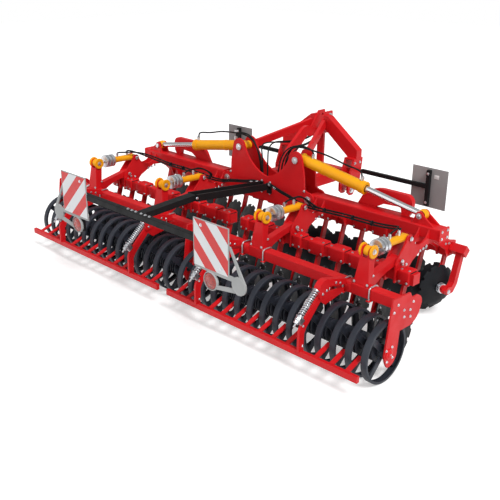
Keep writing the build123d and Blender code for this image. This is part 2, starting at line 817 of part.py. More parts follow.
# Headstock: two top plates round the top link's hole, on a post between them
leg_y = front_beam_y + 30
brace_foot_y = main_beam_y + plate_outer
leg_foot_z = hitch_top + 16
top_x = top_plate_x + top_plate_thickness
with BuildPart() as top_plates:
    with BuildSketch(*[sideways(side * (top_plate_x + top_plate_thickness / 2)) for side in (-1, 1)]):
        with BuildLine():
            Polyline(
                (top_link_y + 45, top_link_z + 50),
                (top_link_y + 50, top_link_z - 60),
                (leg_y + leg_depth / 2, top_link_z - 190),
                (leg_y - leg_depth / 2, top_link_z - 190),
                (top_link_y - 190, top_link_z - 120),
                (top_link_y - 60, top_link_z + 50),
                close=True,
            )
        make_face()
        with Locations((top_link_y, top_link_z)):
            Circle(top_link_r, mode=Mode.SUBTRACT)
    extrude(amount=top_plate_thickness / 2, both=True)
    with BuildSketch(Plane.XY.offset(front_beam_z + front_beam_size / 2)):
        with Locations((0, leg_y)):
            Rectangle(2 * top_plate_x, 30)
    extrude(amount=top_link_z - 150 - front_beam_z - front_beam_size / 2)
    with BuildSketch(sideways(0)):
        with BuildLine():
            strap_foot = brace_foot_y + 2
            rise = Polyline((strap_foot, valley_z - 10), (strap_foot + 110, 1290), (900, 1470))
            crest = ThreePointArc(rise @ 1, (990, 1512), (1085, 1490))
            Polyline(
                crest @ 1,
                (leg_y - 15, 1445),
                (leg_y - 15, 1345),
                (1090, 1390),
                (1000, 1400),
                (strap_foot + 190, 1190),
                (strap_foot + 120, 1000),
                (strap_foot, 980),
                rise @ 0,
            )
        make_face()
    extrude(amount=strap_thickness / 2, both=True)
write(top_plates.part, "top_plates")

# Legs from the top plates down to the hitch brackets
with BuildPart() as headstock_leg:
    with BuildSketch(across(leg_y)):
        with BuildLine():
            Polyline(
                (top_x, top_link_z + 20),
                (top_x + 60, top_link_z + 10),
                (hitch_outer, leg_foot_z + 90),
                (hitch_outer, leg_foot_z),
                (hitch_inner + 10, leg_foot_z),
                (top_x, top_link_z - 120),
                close=True,
            )
        make_face()
    extrude(amount=leg_depth / 2, both=True)
write_both(headstock_leg.part, "headstock_legs")


def strut(start, end, width, height):
    # A square-cut bar from one point to another
    line = Vector(*end) - Vector(*start)
    with BuildPart() as bar:
        with BuildSketch(Plane(origin=start, x_dir=(1, 0, 0), z_dir=line)):
            Rectangle(width, height)
        extrude(amount=line.length)
    return bar.part


# Braces from the top plates back to the centre plates
brace_foot = (brace_foot_x, brace_foot_y + 18, brace_foot_z)
brace_head = (top_x + 22, top_link_y - 130, top_link_z - 70)
with BuildPart() as headstock_brace:
    add(strut(brace_foot, brace_head, 40, 80))
    with Locations((brace_foot_x, brace_foot_y + 10, brace_foot_z)):
        Box(90, 20, 110)
    with BuildSketch(across(brace_foot_y)):
        Rectangle(4 * top_link_z, 4 * top_link_z)
    extrude(amount=centre_plate_thickness, mode=Mode.SUBTRACT)
    with BuildSketch(across(brace_foot_y)):
        with Locations((barrel_pin_x, barrel_pin_z)):
            Circle(fold_pin_r + pin_head_overhang + 6)
    extrude(amount=-60, mode=Mode.SUBTRACT)
    with BuildSketch(sideways(top_x)):
        Rectangle(4 * top_link_z, 4 * top_link_z)
    extrude(amount=-brace_foot_x, mode=Mode.SUBTRACT)
write_both(headstock_brace.part, "headstock_braces")

# Arms of the light bar: two flat ones from the centre tube to a bolt, and one tube on from there
arm_start_y = main_beam_y - plate_outer
light_joint = (0, light_joint_y, light_joint_z)
with BuildPart() as light_arms:
    for side in (-1, 1):
        add(strut((side * 60, arm_start_y - 10, 960), (side * 60, light_joint_y, light_joint_z), 20, 70))
        with Locations((side * 60, arm_start_y - 10, 940)):
            Box(60, 20, 110)
    add(strut(light_joint, (0, light_bar_y, light_bar_z), 100, 60))
    with BuildSketch(across(light_bar_y + light_bar_size / 2)):
        with Locations((0, light_bar_z)):
            Rectangle(4 * light_bar_size, 4 * light_bar_size)
    extrude(amount=light_bar_size, mode=Mode.SUBTRACT)
write(light_arms.part, "light_arms")

# Bar across the rear that carries the boards
with BuildPart() as light_bar:
    with BuildSketch(sideways(-light_bar_half)):
        with Locations((light_bar_y, light_bar_z)):
            RectangleRounded(light_bar_size, light_bar_size, 5)
    extrude(amount=2 * light_bar_half)
write(light_bar.part, "light_bar")

# Rear boards
board_left = rear_board_x - board_size / 2
board_right = rear_board_x + board_size / 2
board_low = rear_board_z - board_size / 2
with BuildPart() as rear_board:
    with Locations((rear_board_x, light_bar_y - light_bar_size / 2 - board_thickness / 2, rear_board_z)):
        Box(board_size, board_thickness, board_size)
write_both(rear_board.part, "rear_boards")

# Castings below the rear boards: a ring for the lamp, a blank disc and the straps between them
casting_y = light_bar_y - light_bar_size / 2
with BuildPart() as lamp_bracket:
    with BuildSketch(across(casting_y)):
        with Locations((lamp_x, lamp_z)):
            Circle(lamp_r + 10)
            Circle(lamp_r, mode=Mode.SUBTRACT)
        with Locations((disc_plate_x, disc_plate_z)):
            Circle(disc_plate_r)
        with BuildLine():
            Polyline(
                (board_left, board_low + 20),
                (board_left, board_low - 20),
                (lamp_x - 40, lamp_z + lamp_r + 2),
                (lamp_x + 50, lamp_z + lamp_r - 8),
                (lamp_x + lamp_r, board_low - 30),
                (disc_plate_x - 60, disc_plate_z + 20),
                (disc_plate_x - 60, board_low + 12),
                close=True,
            )
        make_face()
        with BuildLine():
            Polyline(
                (lamp_x + lamp_r - 30, lamp_z - lamp_r + 18),
                (lamp_x + lamp_r + 4, lamp_z - 20),
                (disc_plate_x - disc_plate_r + 10, disc_plate_z - 40),
                (disc_plate_x - 40, disc_plate_z - disc_plate_r + 6),
                close=True,
            )
        make_face()
        with BuildLine():
            Polyline(
                (board_right - 2, board_low + 270),
                (board_right + 18, board_low + 270),
                (disc_plate_x + disc_plate_r, disc_plate_z + 25),
                (disc_plate_x + 20, disc_plate_z + 60),
                close=True,
            )
        make_face()
    extrude(amount=-casting_thickness)
write_both(lamp_bracket.part, "lamp_brackets")

# Front boards and the tubes that carry them
board_tube_y = front_board_y
board_back_y = board_tube_y + board_tube_size / 2
with BuildPart() as front_board:
    with Locations((front_board_x, board_back_y + board_thickness / 2, front_board_z)):
        Box(board_size, board_thickness, board_size)
write_both(front_board.part, "front_boards")

with BuildPart() as board_tube:
    with BuildSketch(sideways(hitch_outer)):
        with Locations((board_tube_y, front_board_z + 15)):
            Rectangle(board_tube_size, board_tube_size)
    extrude(amount=front_board_x - hitch_outer)
    with Locations((front_board_x, board_tube_y, front_board_z)):
        Box(board_tube_size, board_tube_size, board_size - 40)
write_both(board_tube.part, "board_tubes")
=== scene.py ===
import json
import math
import bpy
from mathutils import Euler, Matrix, Vector


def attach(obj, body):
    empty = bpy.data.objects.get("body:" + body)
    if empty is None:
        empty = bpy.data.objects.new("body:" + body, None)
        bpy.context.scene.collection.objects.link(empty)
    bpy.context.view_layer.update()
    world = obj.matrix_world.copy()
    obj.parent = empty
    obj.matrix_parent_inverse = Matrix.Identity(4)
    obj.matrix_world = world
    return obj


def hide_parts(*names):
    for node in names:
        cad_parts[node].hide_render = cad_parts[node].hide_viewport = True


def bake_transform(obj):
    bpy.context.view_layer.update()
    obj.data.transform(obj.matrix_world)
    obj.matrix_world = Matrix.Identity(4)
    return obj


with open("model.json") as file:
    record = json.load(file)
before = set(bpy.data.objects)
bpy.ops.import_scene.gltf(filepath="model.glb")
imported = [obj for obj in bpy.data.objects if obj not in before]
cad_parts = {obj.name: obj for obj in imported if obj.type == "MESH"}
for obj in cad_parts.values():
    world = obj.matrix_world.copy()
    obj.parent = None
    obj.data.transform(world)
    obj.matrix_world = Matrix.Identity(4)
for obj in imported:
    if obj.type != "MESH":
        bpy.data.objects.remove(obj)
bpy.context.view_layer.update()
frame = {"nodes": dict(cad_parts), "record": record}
nodes = frame["nodes"]

# Camera at the photograph's angle
CAMERA_PLACE = (5.349, -5.317, 3.289)
CAMERA_AZIMUTH = math.radians(44.525)
CAMERA_ELEVATION = math.radians(21.58)
CAMERA_ROLL = math.radians(0.325)
CAMERA_LENS = 54.0


def make_camera():
    data = bpy.data.cameras.new("camera")
    data.lens = CAMERA_LENS
    data.sensor_width = 36.0
    camera = bpy.data.objects.new("camera", data)
    bpy.context.scene.collection.objects.link(camera)
    level = math.cos(CAMERA_ELEVATION)
    look = Vector((
        -math.sin(CAMERA_AZIMUTH) * level,
        math.cos(CAMERA_AZIMUTH) * level,
        -math.sin(CAMERA_ELEVATION),
    ))
    turn = look.to_track_quat("-Z", "Y").to_matrix() @ Matrix.Rotation(CAMERA_ROLL, 3, "Z")
    camera.matrix_world = Matrix.Translation(CAMERA_PLACE) @ turn.to_4x4()
    bpy.context.scene.camera = camera


make_camera()


# Materials
def new_material(name):
    material = bpy.data.materials.new(name)
    material.use_nodes = True
    tree = material.node_tree
    shader = tree.nodes["Principled BSDF"]
    return material, tree, shader


def noise(tree, scale, detail, roughness=0.5, stretch=(1, 1, 1)):
    where = tree.nodes.new("ShaderNodeTexCoord")
    mapping = tree.nodes.new("ShaderNodeMapping")
    mapping.inputs["Scale"].default_value = stretch
    texture = tree.nodes.new("ShaderNodeTexNoise")
    texture.inputs["Scale"].default_value = scale
    texture.inputs["Detail"].default_value = detail
    texture.inputs["Roughness"].default_value = roughness
    tree.links.new(where.outputs["Object"], mapping.inputs["Vector"])
    tree.links.new(mapping.outputs["Vector"], texture.inputs["Vector"])
    return texture.outputs["Fac"]


def spread(tree, value, low, high, start=0.3, end=0.7):
    ramp = tree.nodes.new("ShaderNodeMapRange")
    ramp.inputs["From Min"].default_value = start
    ramp.inputs["From Max"].default_value = end
    ramp.inputs["To Min"].default_value = low
    ramp.inputs["To Max"].default_value = high
    tree.links.new(value, ramp.inputs["Value"])
    return ramp.outputs["Result"]


def mix_colour(tree, factor, first, second):
    mix = tree.nodes.new("ShaderNodeMix")
    mix.data_type = "RGBA"
    for socket, value in (("A", first), ("B", second)):
        target = [s for s in mix.inputs if s.name == socket and s.type == "RGBA"][0]
        if isinstance(value, tuple):
            target.default_value = (*value, 1)
        else:
            tree.links.new(value, target)
    tree.links.new(factor, mix.inputs["Factor"])
    return [s for s in mix.outputs if s.type == "RGBA"][0]


def bump(tree, shader, height, strength, distance):
    node = tree.nodes.new("ShaderNodeBump")
    node.inputs["Strength"].default_value = strength
    node.inputs["Distance"].default_value = distance
    tree.links.new(height, node.inputs["Height"])
    tree.links.new(node.outputs["Normal"], shader.inputs["Normal"])


def painted(name, colour, shade, gloss, coat, specular):
    # Enamel with a faint orange peel, cloudy shade and a few scuffs
    material, tree, shader = new_material(name)
    cloud = spread(tree, noise(tree, 2.5, 5), 0.0, 1.0)
    base = mix_colour(tree, cloud, colour, shade)
    scuff = spread(tree, noise(tree, 38, 8, 0.7, (1, 1, 3)), 0.0, 0.28, 0.66, 0.78)
    worn = tuple(min(1.0, c * 0.85 + 0.03) for c in colour)
    tree.links.new(mix_colour(tree, scuff, base, worn), shader.inputs["Base Color"])
    tree.links.new(spread(tree, noise(tree, 14, 6), gloss, gloss + 0.2), shader.inputs["Roughness"])
    shader.inputs["Coat Weight"].default_value = coat
    shader.inputs["Coat Roughness"].default_value = 0.12
    shader.inputs["Specular IOR Level"].default_value = specular
    bump(tree, shader, noise(tree, 260, 2), 0.06, 0.0006)
    return material


def metal(name, colour, shade, rough, grain=(1, 1, 1)):
    material, tree, shader = new_material(name)
    shader.inputs["Metallic"].default_value = 1.0
    cloud = spread(tree, noise(tree, 30, 6, 0.6, grain), 0.0, 1.0)
    tree.links.new(mix_colour(tree, cloud, colour, shade), shader.inputs["Base Color"])
    tree.links.new(spread(tree, noise(tree, 90, 4, 0.6, grain), rough, rough + 0.18), shader.inputs["Roughness"])
    bump(tree, shader, noise(tree, 300, 3, 0.6, grain), 0.08, 0.0004)
    return material


def striped_film():
    # Red and white bands at 45 degrees that lean outwards on both boards, on a film with a fine honeycomb
    material, tree, shader = new_material("striped_film")
    where = tree.nodes.new("ShaderNodeTexCoord")
    parts = tree.nodes.new("ShaderNodeSeparateXYZ")
    tree.links.new(where.outputs["Object"], parts.inputs[0])

    def calculate(kind, first, second=None):
        node = tree.nodes.new("ShaderNodeMath")
        node.operation = kind
        for socket, value in zip(node.inputs, (first, second)):
            if isinstance(value, (int, float)):
                socket.default_value = value
            elif value is not None:
                tree.links.new(value, socket)
        return node.outputs[0]

    across = calculate("ABSOLUTE", parts.outputs["X"])
    along = calculate("SUBTRACT", calculate("ADD", across, parts.outputs["Z"]), BOARD_STRIPE_START)
    band = calculate("FRACT", calculate("DIVIDE", along, BOARD_STRIPE_PERIOD))
    white = calculate("GREATER_THAN", band, 0.5)
    dust = spread(tree, noise(tree, 9, 6), 0.0, 0.35)
    red = mix_colour(tree, dust, (0.66, 0.03, 0.03), (0.5, 0.04, 0.04))
    pale = mix_colour(tree, dust, (0.74, 0.76, 0.78), (0.6, 0.62, 0.63))
    tree.links.new(mix_colour(tree, white, red, pale), shader.inputs["Base Color"])
    tree.links.new(spread(tree, noise(tree, 30, 4), 0.3, 0.5), shader.inputs["Roughness"])
    cells = tree.nodes.new("ShaderNodeTexVoronoi")
    cells.inputs["Scale"].default_value = 220
    tree.links.new(where.outputs["Object"], cells.inputs["Vector"])
    bump(tree, shader, cells.outputs["Distance"], 0.12, 0.0005)
    return material


def lens(name, colour, deep):
    # Moulded lamp glass with rings of small ribs
    material, tree, shader = new_material(name)
    cloud = spread(tree, noise(tree, 40, 3), 0.0, 1.0)
    tree.links.new(mix_colour(tree, cloud, colour, deep), shader.inputs["Base Color"])
    shader.inputs["Roughness"].default_value = 0.12
    shader.inputs["Coat Weight"].default_value = 0.6
    shader.inputs["Coat Roughness"].default_value = 0.05
    where = tree.nodes.new("ShaderNodeTexCoord")
    wave = tree.nodes.new("ShaderNodeTexWave")
    wave.inputs["Scale"].default_value = 60
    wave.bands_direction = "X"
    tree.links.new(where.outputs["Object"], wave.inputs["Vector"])
    bump(tree, shader, wave.outputs["Fac"], 0.35, 0.0012)
    return material


RED = (0.70, 0.010, 0.014)
RED_SHADE = (0.58, 0.008, 0.012)
BOARD_STRIPE_START = 2.025
BOARD_STRIPE_PERIOD = 0.282
red_paint = painted("red_enamel", RED, RED_SHADE, 0.32, 0.05, 0.22)
yellow_paint = painted("yellow_enamel", (0.95, 0.43, 0.006), (0.86, 0.35, 0.004), 0.32, 0.05, 0.22)
black_paint = painted("black_enamel", (0.008, 0.008, 0.009), (0.014, 0.014, 0.015), 0.42, 0.0, 0.16)
# Ring steel: the black paint is given a blue tint and lighter blue-grey patches, a painted reflection that
# stands for the rings' blue-grey highlights
ring_steel = painted("ring_steel", (0.016, 0.019, 0.028), (0.034, 0.039, 0.052), 0.38, 0.0, 0.3)
disc_steel = painted("disc_steel", (0.006, 0.007, 0.009), (0.014, 0.016, 0.020), 0.40, 0.0, 0.18)
rubber_black = painted("hose_rubber", (0.006, 0.006, 0.007), (0.012, 0.012, 0.013), 0.5, 0.0, 0.16)
chrome = metal("chrome", (0.82, 0.83, 0.85), (0.72, 0.73, 0.76), 0.08)
zinc = metal("zinc", (0.78, 0.80, 0.83), (0.55, 0.57, 0.60), 0.26)
casting = painted("grey_casting", (0.42, 0.43, 0.43), (0.32, 0.33, 0.33), 0.45, 0.0, 0.3)
# Board grey: made lighter than the boards' own grey, as painted light on the rear-facing boards that the lamps
# leave in shade
board_grey = painted("board_grey", (0.38, 0.38, 0.38), (0.25, 0.25, 0.255), 0.45, 0.0, 0.25)
white_film = painted("blank_film", (0.80, 0.80, 0.80), (0.70, 0.70, 0.70), 0.4, 0.0, 0.3)
board_film = striped_film()
lamp_red = lens("lamp_glass", (0.46, 0.022, 0.008), (0.22, 0.008, 0.005))

FINISHES = {
    "red_paint": red_paint,
    "yellow_paint": yellow_paint,
    "black_paint": black_paint,
    "ring_steel": ring_steel,
    "disc_steel": disc_steel,
    "rod_chrome": chrome,
    "casting": casting,
    "board": board_film,
    "board_grey": board_grey,
}

for part in frame["record"]["subparts"]:
    node = nodes[part["node"]]
    node.data.materials.clear()
    node.data.materials.append(FINISHES[part["material_slot"]])


MM = 0.001


# Modelling helpers: lengths are in millimetres, as in the machine's own drawing
def deselect():
    bpy.ops.object.select_all(action="DESELECT")


def choose(piece):
    deselect()
    piece.select_set(True)
    bpy.context.view_layer.objects.active = piece


def modify(piece, kind, **settings):
    choose(piece)
    modifier = piece.modifiers.new(kind.title(), kind)
    for name, value in settings.items():
        setattr(modifier, name, value)
    bpy.ops.object.modifier_apply(modifier=modifier.name)


def discard(piece):
    bpy.data.objects.remove(piece, do_unlink=True)


def outward(piece):
    choose(piece)
    bpy.ops.object.mode_set(mode="EDIT")
    bpy.ops.mesh.select_all(action="SELECT")
    bpy.ops.mesh.normals_make_consistent(inside=False)
    bpy.ops.object.mode_set(mode="OBJECT")


def turned(sides, steps):
    # A round piece on the Z axis: the first radius and level, then each step drawn up to a new radius and level
    deselect()
    radius, level = steps[0]
    bpy.ops.mesh.primitive_circle_add(
        vertices=sides, radius=radius * MM, fill_type="NGON", location=(0, 0, level * MM)
    )
    piece = bpy.context.object
    bpy.ops.object.transform_apply(location=True, rotation=True, scale=True)
    bpy.ops.object.mode_set(mode="EDIT")
    bpy.ops.mesh.select_all(action="SELECT")
    for wide, height in steps[1:]:
        bpy.ops.mesh.extrude_region_move(TRANSFORM_OT_translate={"value": (0, 0, (height - level) * MM)})
        bpy.ops.transform.resize(value=(wide / radius, wide / radius, 1), center_override=(0, 0, height * MM))
        radius, level = wide, height
    bpy.ops.object.mode_set(mode="OBJECT")
    outward(piece)
    return piece


def block(low, high, bevel=3, segments=2):
    # A box with rounded edges
    deselect()
    middle = [(a + b) / 2 * MM for a, b in zip(low, high)]
    bpy.ops.mesh.primitive_cube_add(size=1, location=middle)
    piece = bpy.context.object
    piece.scale = [(b - a) * MM for a, b in zip(low, high)]
    bpy.ops.object.transform_apply(location=True, rotation=True, scale=True)
    modify(piece, "BEVEL", width=bevel * MM, segments=segments, limit_method="ANGLE")
    return piece


def cut(piece, cutter):
    modify(piece, "BOOLEAN", object=cutter, operation="DIFFERENCE", solver="EXACT")
    discard(cutter)


def seat(place, out=(0, 0, 1), turn=0):
    # Where a piece modelled on the Z axis sits, with its Z along out
    aim = Vector(out).normalized().to_track_quat("Z", "Y").to_matrix().to_4x4()
    return Matrix.Translation(Vector(place) * MM) @ aim @ Matrix.Rotation(math.radians(turn), 4, "Z")


def copies(model, seats):
    made = []
    for where in seats:
        copy = model.copy()
        copy.data = model.data.copy()
        copy.data.transform(where)
        bpy.context.scene.collection.objects.link(copy)
        made.append(copy)
    discard(model)
    return made


def join(pieces):
    deselect()
    for piece in pieces:
        piece.select_set(True)
    bpy.context.view_layer.objects.active = pieces[0]
    bpy.ops.object.join()
    return bpy.context.object


def spread_out(model, seats):
    return join(copies(model, seats))


def mirrored(piece):
    other = piece.copy()
    other.data = piece.data.copy()
    other.data.transform(Matrix.Scale(-1, 4, (1, 0, 0)))
    bpy.context.scene.collection.objects.link(other)
    outward(other)
    return other


def tube(points, radius, sides=3):
    # A round bar or hose that follows a smooth line near the points
    deselect()
    curve = bpy.data.curves.new("line", "CURVE")
    curve.dimensions = "3D"
    curve.bevel_depth = radius * MM
    curve.bevel_resolution = sides
    curve.use_fill_caps = True
    curve.resolution_u = 8
    spline = curve.splines.new("NURBS")
    spline.points.add(len(points) - 1)
    for knot, place in zip(spline.points, points):
        knot.co = (*(c * MM for c in place), 1)
    spline.order_u = 3
    spline.use_endpoint_u = True
    piece = bpy.data.objects.new("line", curve)
    bpy.context.scene.collection.objects.link(piece)
    choose(piece)
    bpy.ops.object.convert(target="MESH")
    return bpy.context.object


def keep(piece, name, material, body, smooth=35):
    choose(piece)
    bpy.ops.object.shade_smooth_by_angle(angle=math.radians(smooth))
    piece.name = name
    piece.data.name = name
    piece.data.materials.clear()
    piece.data.materials.append(material)
    if body:
        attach(piece, body)
    return piece


def keep_pair(piece, name, material, body, smooth=35):
    # The same piece on both halves of the machine
    other = mirrored(piece)
    return (
        keep(piece, name + "_right", material, body + "_right", smooth),
        keep(other, name + "_left", material, body + "_left", smooth),
    )


def keep_both(piece, name, material, body, smooth=35):
    return keep(join([piece, mirrored(piece)]), name, material, body, smooth)


def bolt(r=11, head=9, washer=True):
    # A hexagon head with a washer under it
    hexagon = turned(6, [(r * 0.96, 2), (r, 3), (r, 1 + head), (r * 0.8, 2 + head)])
    if not washer:
        return hexagon
    return join([hexagon, turned(16, [(r * 1.35, 0), (r * 1.4, 1), (r * 1.4, 2), (r * 1.35, 3)])])


# Directions
RIGHT, LEFT = (1, 0, 0), (-1, 0, 0)
AHEAD, BACK = (0, 1, 0), (0, -1, 0)
UP, DOWN = (0, 0, 1), (0, 0, -1)

SIDES = ("right", "left")

# Places that the machine's own drawing gives
BEAM_Y = 460
HINGE_X, HINGE_Z = 598, 925
BARREL_PIN_X, BARREL_PIN_Z = 410, 1312
ROD_PIN_X, ROD_PIN_Z = 1894, 1061
PLATE_REAR_Y, PLATE_FRONT_Y = 360, 560
PIVOT_Y, PIVOT_Z = -50, 785
DEPTH_PIN_Y, DEPTH_PIN_Z = 70, 965
DEPTH_EYE_Y, DEPTH_EYE_Z = -465, 985
EDGE_HUB = (2125, 600, 330)
EDGE_HUB_LENGTH = 80
EDGE_DISC_SHARE = 0.84
HUB_Z, HUB_LENGTH, DISC_TRAIL = 250, 50, 100
END_PLATE_X = 2410
HITCH_X, HITCH_OUTER_X = 480, 547
LOWER_LINK_Y, LOWER_LINK_Z = 1160, 850
LAMP_X, LAMP_Z = 1010, 690
BLANK_DISC_X, BLANK_DISC_Z = 1350, 745
REAR_BOARD_X, REAR_BOARD_HALF = 1020, 211.5
PORTS_Y = (DEPTH_PIN_Y - 95, DEPTH_PIN_Y - 235)
STATIONS = (742, 1967)
ARM_PITCH, RING_PITCH = 245, 160
REAR_PLACES = [130 + ARM_PITCH * i for i in range(9)]
FRONT_PLACES = [252 + ARM_PITCH * i for i in range(8)]
RING_PLACES = [115 + RING_PITCH * i for i in range(15)]
POST_PLACES = (515, 1795)
REAR_ROW, FRONT_ROW, ROW_Z = -50, 815, 665
ROLLER_Y, RING_R, RING_WIDTH = -715, 275, 60
DISC_ANGLE = math.radians(17)
DEPTH_LINE = Vector((0, DEPTH_EYE_Y - DEPTH_PIN_Y, DEPTH_EYE_Z - DEPTH_PIN_Z)).normalized()
FOLD_LINE = Vector((ROD_PIN_X - BARREL_PIN_X, 0, ROD_PIN_Z - BARREL_PIN_Z)).normalized()


def disc_look(facing):
    # Which way the hollow of a disc looks: 1 outwards, -1 inwards, and always a little forwards
    return Vector((facing * math.cos(DISC_ANGLE), math.sin(DISC_ANGLE), 0))


def on_circle(radius, count, level=0):
    # Evenly spaced seats round the Z axis
    turns = [math.radians(360 / count * i) for i in range(count)]
    return [seat((radius * math.cos(turn), radius * math.sin(turn), level)) for turn in turns]


# Notched discs, dished and drawn to a thin rim
def make_discs():
    disc = turned(48, [
        (70, 0), (130, 7), (190, 19), (246, 40), (250, 43), (250, 44.5), (188, 25), (128, 12.5), (72, 5.5),
        (66, 5)
    ])
    notch = turned(14, [(21, -20), (21, 80)])
    cut(disc, spread_out(notch, on_circle(246, 12)))
    edge = disc.copy()
    edge.data = disc.data.copy()
    bpy.context.scene.collection.objects.link(edge)
    edge.data.transform(Matrix.Diagonal((EDGE_DISC_SHARE, EDGE_DISC_SHARE, 1, 1)))
    rows = [(x, REAR_ROW - DISC_TRAIL, 1) for x in REAR_PLACES]
    rows += [(x, FRONT_ROW - DISC_TRAIL, -1) for x in FRONT_PLACES]
    seats = [
        seat(Vector((x, y, HUB_Z)) + HUB_LENGTH * disc_look(facing), disc_look(facing)) for x, y, facing in rows
    ]
    edge_seat = seat(Vector(EDGE_HUB) + EDGE_HUB_LENGTH * disc_look(-1), disc_look(-1))
    discs = join(copies(disc, seats) + copies(edge, [edge_seat]))
    made = keep_pair(discs, "notched_discs", disc_steel, "wing", 25)
    for piece, side in zip(made, SIDES):
        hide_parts("discs_" + side)

    # Hub caps in the hollows and the bolts round them
    seats.append(edge_seat)
    cap = turned(28, [(52, 4), (52, 12), (46, 15), (38, 17), (36, 30), (28, 34), (24, 34), (22, 38), (10, 39)])
    keep_pair(spread_out(cap, seats), "hub_caps", black_paint, "wing")
    ring = on_circle(61, 5, 5)
    bolts = spread_out(bolt(8, 7), [where @ small for where in seats for small in ring])
    keep_pair(bolts, "hub_bolts", zinc, "wing")

    # Ribbed hub between the last arm and its disc
    hub = turned(24, [
        (44, 0), (50, 3), (50, 9), (43, 11), (43, 16), (50, 18), (50, 24), (43, 26), (43, 31), (50, 33),
        (50, 41), (44, 47)
    ])
    hub_seat = seat(Vector(EDGE_HUB) + 31 * disc_look(-1), disc_look(-1))
    keep_pair(spread_out(hub, [hub_seat]), "edge_hub", zinc, "wing")


# Roller: channel rings with flanges turned in, on spokes and an axle with ribbed hubs between them
def make_roller():
    deselect()
    bpy.ops.mesh.primitive_cylinder_add(
        vertices=72, radius=RING_R * MM, depth=RING_WIDTH * MM, end_fill_type="NOTHING"
    )
    ring = bpy.context.object
    bpy.ops.object.mode_set(mode="EDIT")
    bpy.ops.mesh.select_all(action="DESELECT")
    bpy.ops.mesh.select_mode(type="EDGE")
    bpy.ops.mesh.select_non_manifold()
    bpy.ops.mesh.extrude_region_move(TRANSFORM_OT_translate={"value": (0, 0, 0)})
    bpy.ops.transform.resize(value=(0.915, 0.915, 0.96), center_override=(0, 0, 0))
    bpy.ops.mesh.select_mode(type="VERT")
    bpy.ops.object.mode_set(mode="OBJECT")
    modify(ring, "BEVEL", width=6 * MM, segments=3, limit_method="ANGLE", angle_limit=math.radians(40))
    outward(ring)
    modify(ring, "SOLIDIFY", thickness=9 * MM, offset=-1)
    outward(ring)
    rings = copies(ring, [seat((x, ROLLER_Y, RING_R), RIGHT) for x in RING_PLACES])
    spoke = block((-27, 54, -6), (27, 262, 6), 2)
    spokes = copies(spoke, [
        seat((x, ROLLER_Y, RING_R), RIGHT, 45 + 90 * i) for x in RING_PLACES for i in range(4)
    ])
    hub = turned(12, [
        (88, -44), (104, -40), (104, -26), (86, -23), (86, -9), (104, -6), (104, 6), (86, 9), (86, 23),
        (104, 26), (104, 40), (88, 44)
    ])
    between = [(x + RING_PITCH / 2, ROLLER_Y, RING_R) for x in RING_PLACES[:-1]]
    hubs = copies(hub, [seat(place, RIGHT, 15) for place in between])
    axle = turned(36, [(25, 58), (25, 90), (52, 93), (57, 98), (57, 2380), (52, 2385), (25, 2388), (25, 2412)])
    axle = copies(axle, [seat((0, ROLLER_Y, RING_R), RIGHT)])
    roller = join(rings + spokes + hubs + axle)
    made = keep_pair(roller, "ring_roller", ring_steel, "roller")
    for piece, side in zip(made, SIDES):
        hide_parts("roller_" + side)


# Clamp shells on the row tubes, with rubber at their corners and their bolts
def make_clamps():
    wide = [(x, REAR_ROW) for x in (375, 1110, 1355, 1600)]
    wide += [(x, FRONT_ROW) for x in (252, 497, 987, 1232, 1477, 1722)]
    slim = [(x, REAR_ROW) for x in (620, 865, 1845, 2105, 142)]
    shells, corners, bolts = [], [], []
    for half, places in ((92, wide), (58, slim)):
        shell = block((-half, -69, -69), (half, 69, 69), 16, 3)
        shells += copies(shell, [seat((x, y, ROW_Z)) for x, y in places])
        rubber = block((-half - 5, -52, -58), (half + 5, 52, 58), 10, 3)
        corners += copies(rubber, [seat((x, y, ROW_Z)) for x, y in places])
        for x, y in places:
            for side in (-1, 1):
                bolts.append(seat((x + side * (half - 20), y - 69, ROW_Z - 38), BACK))
                bolts.append(seat((x + side * (half - 20), y - 36, ROW_Z + 69), UP))
    keep_pair(join(shells), "clamp_shells", red_paint, "wing")
    keep_pair(join(corners), "clamp_rubbers", rubber_black, "wing")
    keep_pair(spread_out(bolt(9, 7), bolts), "clamp_bolts", zinc, "wing")


# Heads of the pins, seen as bright round caps
def make_pin_caps():
    big = turned(32, [(40, 0), (40, 12), (37, 15), (24, 15.5), (22, 21), (12, 23)])
    small = turned(32, [(37, 0), (37, 12), (34, 15), (20, 15.5), (18, 20), (10, 22)])
    frame_caps = []
    for cap, x, z in ((big, HINGE_X, HINGE_Z), (small, BARREL_PIN_X, BARREL_PIN_Z)):
        frame_caps += copies(cap, [seat((x, PLATE_REAR_Y - 1, z), BACK), seat((x, PLATE_FRONT_Y + 1, z), AHEAD)])
    keep_both(join(frame_caps), "frame_pin_caps", zinc, "frame")

    rod_cap = turned(28, [(27.5, 0), (27.5, 12), (25, 14), (14, 14.5), (12, 19), (6, 20)])
    lugs = [seat((ROD_PIN_X, BEAM_Y - 58, ROD_PIN_Z), BACK), seat((ROD_PIN_X, BEAM_Y + 58, ROD_PIN_Z), AHEAD)]
    plate_cap = turned(24, [(18, 0), (22, 1), (22, 4), (19, 6), (17, 12), (9, 15)])
    spots = [
        seat((x + side * 71, y, z), (side, 0, 0)) for x in STATIONS for side in (-1, 1)
        for y, z in ((PIVOT_Y, PIVOT_Z), (DEPTH_PIN_Y, DEPTH_PIN_Z))
    ]
    spots.append(seat((2155, 612, 318), RIGHT))
    wing_caps = join(copies(rod_cap, lugs) + copies(plate_cap, spots))
    keep_pair(wing_caps, "wing_pin_caps", zinc, "wing")

    eye_cap = turned(24, [(22, 10), (24, 13), (24, 16), (17, 18), (16, 26), (8, 28)])
    spots = [seat((x + side * 46, DEPTH_EYE_Y, DEPTH_EYE_Z), (side, 0, 0)) for x in STATIONS for side in (-1, 1)]
    keep_pair(spread_out(eye_cap, spots), "bracket_pin_caps", zinc, "roller_frame")


